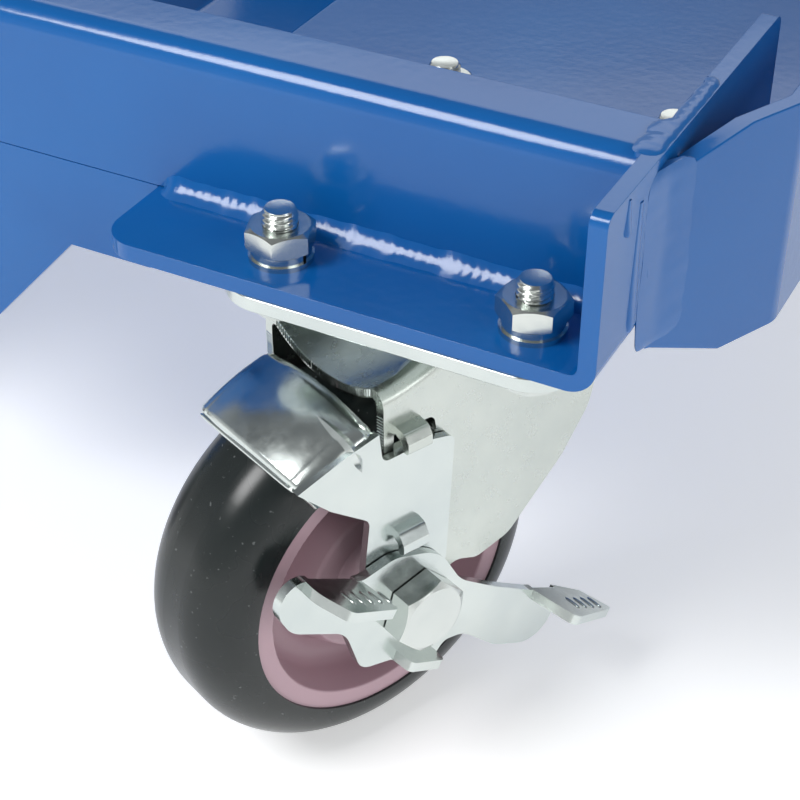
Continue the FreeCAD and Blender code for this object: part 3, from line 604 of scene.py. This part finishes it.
def broken_edges(node, width, slot, body, finish=None):
    """The node's own surface with its sharp edges broken to a small radius."""
    src = nodes[node]
    me = src.data.copy()
    me.name = node + "_edges"
    bm = bmesh.new()
    bm.from_mesh(me)
    bm.transform(src.matrix_world)
    bmesh.ops.remove_doubles(bm, verts=bm.verts, dist=1e-7)
    bmesh.ops.dissolve_limit(bm, angle_limit=math.radians(1.0), verts=bm.verts, edges=bm.edges)
    edges = [e for e in bm.edges if len(e.link_faces) == 2 and e.calc_face_angle(0.0) > math.radians(38.0)]
    bmesh.ops.bevel(bm, geom=edges, offset=width * MM, offset_type="OFFSET", segments=3, profile=0.5,
                    affect="EDGES", clamp_overlap=True)
    bmesh.ops.recalc_face_normals(bm, faces=bm.faces)
    for f in bm.faces:
        f.smooth = True
    for e in bm.edges:
        e.smooth = not (len(e.link_faces) == 2 and e.calc_face_angle(0.0) > math.radians(32.0))
    bm.to_mesh(me)
    bm.free()
    me.materials.clear()
    me.materials.append(MATS[finish or slot])
    o = bpy.data.objects.new(node + "_broken", me)
    bpy.context.scene.collection.objects.link(o)
    wn = o.modifiers.new("weighted", "WEIGHTED_NORMAL")
    wn.keep_sharp = True
    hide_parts(node)
    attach(o, body)


bolt_set()
rail_welds()
post_welds()
for node in ("end_rail_right", "end_rail_left", "side_rail_front", "side_rail_rear"):
    broken_edges(node, 0.45, "blue_paint", "frame")
for tag, sx, sy, heading in CORNERS:
    at = caster_matrix(sx, sy, heading)
    broken_edges("corner_bracket_" + tag, 0.5, "blue_paint", "frame")
    broken_edges("top_plate_" + tag, 0.35, "zinc_sheet", "frame")
    broken_edges("fork_" + tag, 0.30, "zinc_sheet", "swivel_" + tag, "zinc_fork")
    broken_edges("brake_cover_" + tag, 0.25, "zinc_sheet", "brake_" + tag)
    broken_edges("brake_pedal_" + tag, 0.35, "zinc_sheet", "pedal_" + tag)
    sheared_edge(tag, at)
    cover_details(tag, at)
    pedal_details(tag, at)
    mould_lines(tag, at)


# ---------------------------------------------------------------- floor, light, camera

def floor():
    me = bpy.data.meshes.new("floor")
    s = 12.0
    me.from_pydata([(-s, -s, 0), (s, -s, 0), (s, s, 0), (-s, s, 0)], [], [(0, 1, 2, 3)])
    o = bpy.data.objects.new("floor", me)
    bpy.context.scene.collection.objects.link(o)
    o.location.z = -0.0002
    m, nt, b = new_material("floor")
    col = ramp(nt, noise_tex(nt, coords(nt), 3.0), [(0.3, 0.90), (0.7, 0.92)])
    nt.links.new(col, b.inputs["Base Color"])
    b.inputs["Roughness"].default_value = 0.95
    b.inputs["Specular IOR Level"].default_value = 0.1
    b.inputs["Emission Color"].default_value = (1.0, 1.0, 1.0, 1.0)
    b.inputs["Emission Strength"].default_value = 0.40
    me.materials.append(m)


def area(name, loc, target, size, power, color=(1, 1, 1)):
    d = bpy.data.lights.new(name, "AREA")
    d.shape = "RECTANGLE"
    d.size, d.size_y = size
    d.energy = power
    d.color = color
    o = bpy.data.objects.new(name, d)
    bpy.context.scene.collection.objects.link(o)
    o.location = loc
    o.rotation_euler = (Vector(target) - Vector(loc)).to_track_quat("-Z", "Y").to_euler()


def studio():
    """Dim room with a bright band at the horizon, a big key from the front left, and a softbox behind."""
    w = bpy.data.worlds.new("studio")
    bpy.context.scene.world = w
    w.use_nodes = True
    nt = w.node_tree
    bg = nt.nodes["Background"]
    sky = nt.nodes.new("ShaderNodeTexCoord")
    split = nt.nodes.new("ShaderNodeSeparateXYZ")
    nt.links.new(sky.outputs["Generated"], split.inputs[0])
    stops = [(0.0, (1.0, 1.0, 1.0)), (0.30, (0.62, 0.64, 0.66)), (0.62, (0.16, 0.17, 0.18)),
             (1.0, (0.26, 0.27, 0.28))]
    shade = ramp(nt, split.outputs[2], stops)
    nt.links.new(shade, bg.inputs[0])
    bg.inputs[1].default_value = WORLD
    for args in LIGHTS:
        area(*args)


WORLD = 0.80
LIGHTS = [
    ("key", (-0.75, -1.35, 1.75), (0.12, -0.14, 0.10), (0.9, 0.9), 34.0),
    ("fill", (1.7, -0.6, 0.9), (0.15, -0.12, 0.08), (1.0, 1.0), 8.0),
    ("back", (-0.75, 1.55, 1.42), (0.10, 0.0, 0.12), (1.5, 0.7), 4.5),
]


def camera():
    yaw, pitch, roll = math.radians(-27.15), math.radians(36.22), math.radians(-0.44)
    f = Vector((math.sin(yaw) * math.cos(pitch), math.cos(yaw) * math.cos(pitch), -math.sin(pitch)))
    r = Vector((math.cos(yaw), -math.sin(yaw), 0.0))
    d = f.cross(r)
    c, s = math.cos(roll), math.sin(roll)
    right = c * r + s * d
    down = -s * r + c * d
    cam = bpy.data.cameras.new("camera")
    cam.sensor_width = 36.0
    cam.lens = 81.97
    cam.clip_start, cam.clip_end = 0.02, 20.0
    o = bpy.data.objects.new("camera", cam)
    bpy.context.scene.collection.objects.link(o)
    m = Matrix((right, -down, -f)).transposed().to_4x4()
    m.translation = Vector((PIN_X * MM + 0.14803, -PIN_Y * MM - 0.32992, 0.1414 + 0.19744))
    o.matrix_world = m
    bpy.context.scene.camera = o


floor()
studio()
camera()
bpy.context.scene.view_settings.view_transform = "Standard"
